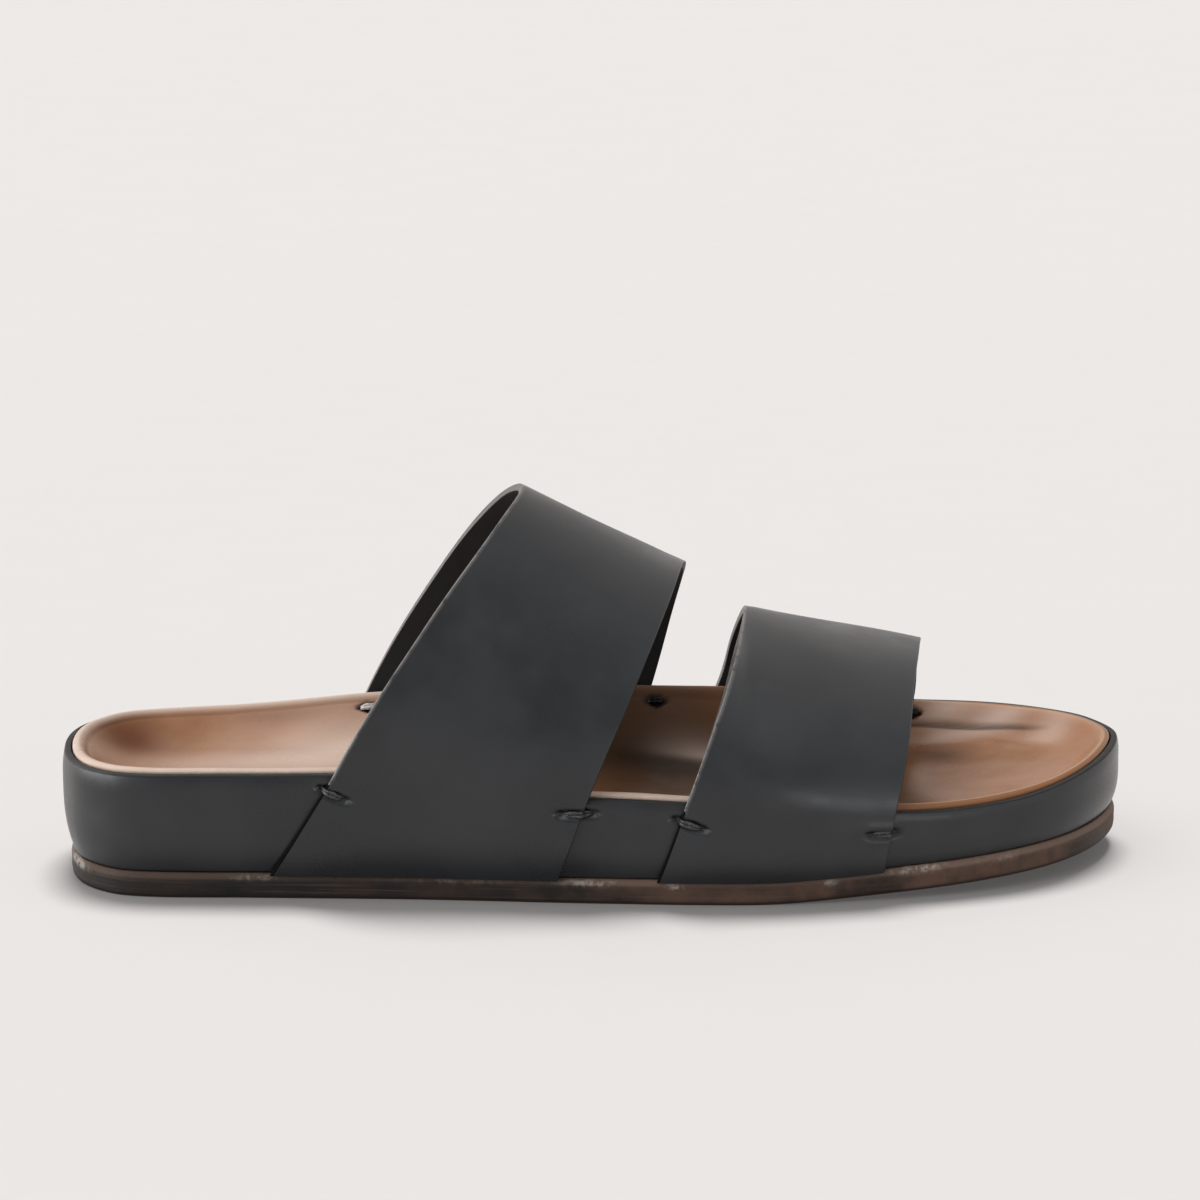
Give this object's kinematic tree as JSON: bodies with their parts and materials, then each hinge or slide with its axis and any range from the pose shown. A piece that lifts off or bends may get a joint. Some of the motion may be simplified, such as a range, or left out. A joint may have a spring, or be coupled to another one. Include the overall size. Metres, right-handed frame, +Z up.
{
  "type": "slide sandal",
  "caption": "Leather slide sandal for the right foot: wide bands over the instep and the ball of the foot, moulded footbed with heel cup and raised rim, wrapped sides, flat outsole.",
  "frame": {"origin": "on the floor under the middle of the sandal's bounding box", "axes": "+X from heel to toe, +Y to the big-toe side, +Z up"},
  "size_m": [0.28, 0.1014, 0.1003],
  "materials": {
    "outsole_leather": "matt sole leather",
    "footbed_cork": "matt cork",
    "insole_leather": "burnished",
    "black_leather": "satin"
  },
  "bodies": {
    "root": {"outsole": "outsole_leather", "footbed": "footbed_cork", "side_wrap": "black_leather", "insole": "insole_leather", "rear_strap": "black_leather", "front_strap": "black_leather"}
  },
  "joints": []
}
